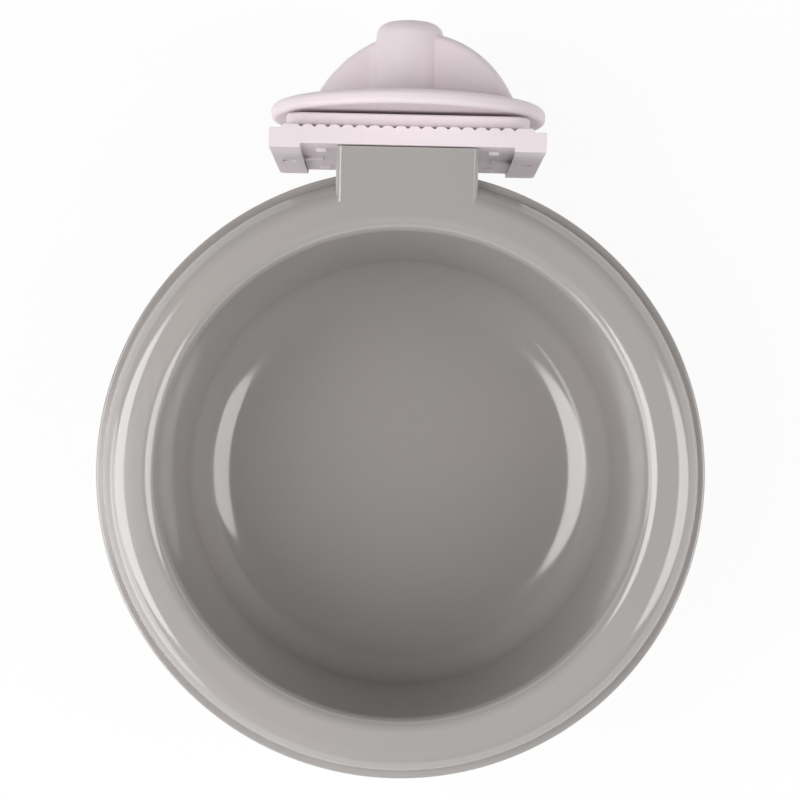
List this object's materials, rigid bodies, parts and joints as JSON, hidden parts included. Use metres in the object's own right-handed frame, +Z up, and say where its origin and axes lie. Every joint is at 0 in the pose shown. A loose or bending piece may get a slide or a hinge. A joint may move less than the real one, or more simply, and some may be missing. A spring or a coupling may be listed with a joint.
{
  "type": "crate dog bowl",
  "caption": "Round flat-rimmed plastic bowl that hangs by a tab on a toothed bracket, with a jaw plate and a wing knob on a bolt that clamp it to crate bars.",
  "frame": {"origin": "centre of the bowl's flat foot, on the surface that it stands on", "axes": "+Z up along the bowl's axis, +Y from the bowl towards the clamp and along the bolt, +X to the right"},
  "size_m": [0.1524, 0.1923, 0.0744],
  "materials": {
    "bowl_plastic": "glossy moulded plastic, warm grey",
    "clamp_plastic": "satin moulded plastic, off-white",
    "zinc_steel": "zinc-plated steel"
  },
  "bodies": {
    "bracket": {"bracket": "clamp_plastic", "clamp_bolt": "zinc_steel"},
    "bowl": {"bowl": "bowl_plastic"},
    "jaw": {"jaw_plate": "clamp_plastic", "thrust_washer": "zinc_steel"},
    "knob": {"knob": "clamp_plastic", "knob_nut": "zinc_steel"}
  },
  "joints": [
    {"name": "bowl_lift", "type": "slide", "parent": "bracket", "child": "bowl", "axis": [0, 0, 1], "range_m": [0, 0.036]},
    {"name": "jaw_slide", "type": "slide", "parent": "bracket", "child": "jaw", "axis": [0, 1, 0], "range_m": [0, 0.01301]},
    {"name": "knob_turn", "type": "hinge", "parent": "jaw", "child": "knob", "pos_m": [0, 0.0904, 0.039], "axis": [0, 1, 0], "range_deg": [0, 4680]}
  ],
  "couplings": [
    {"joint": "jaw_slide", "follows": "knob_turn", "m_per_rad": 0.00015915}
  ]
}
